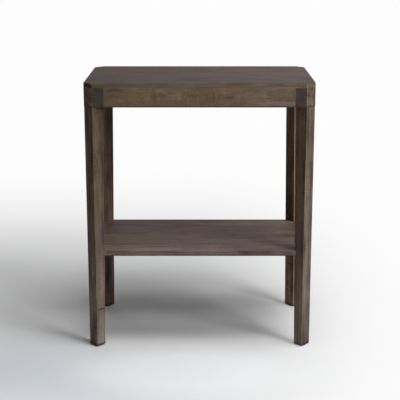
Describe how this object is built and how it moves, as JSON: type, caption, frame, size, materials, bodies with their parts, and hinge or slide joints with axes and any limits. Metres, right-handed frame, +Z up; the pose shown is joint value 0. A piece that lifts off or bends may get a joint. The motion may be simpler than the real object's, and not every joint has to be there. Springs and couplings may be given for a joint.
{
  "type": "end table with shelf",
  "caption": "Small rectangular end table in dark stained wood with clipped corners, diagonal tapered legs and an open lower shelf.",
  "frame": {"origin": "middle of the table's footprint, on the floor", "axes": "+X to the right along the width, +Y to the back along the depth, +Z up"},
  "size_m": [0.508, 0.3048, 0.6096],
  "materials": {
    "stained_wood_top": "satin, dark grey-brown stain, grain along the width",
    "stained_wood_rail": "satin, dark brown stain, figured grain, dark end grain",
    "stained_wood_leg": "satin, dark brown stain, upright grain",
    "stained_wood_shelf": "satin, dark grey-brown stain, grain along the width",
    "beech_dowel": "bare beech",
    "zinc_steel": "zinc plated",
    "glide_nylon": "dark brown moulded nylon"
  },
  "bodies": {
    "root": {"top_board": "stained_wood_top", "left_rail": "stained_wood_rail", "right_rail": "stained_wood_rail", "front_rail": "stained_wood_rail", "back_rail": "stained_wood_rail", "leg_front_left": "stained_wood_leg", "leg_front_right": "stained_wood_leg", "leg_back_left": "stained_wood_leg", "leg_back_right": "stained_wood_leg", "shelf": "stained_wood_shelf", "leg_bolts": "zinc_steel", "bolt_washers": "zinc_steel", "top_screws": "zinc_steel", "shelf_dowels": "beech_dowel", "glide_front_left": "glide_nylon", "glide_front_right": "glide_nylon", "glide_back_left": "glide_nylon", "glide_back_right": "glide_nylon"}
  },
  "joints": []
}
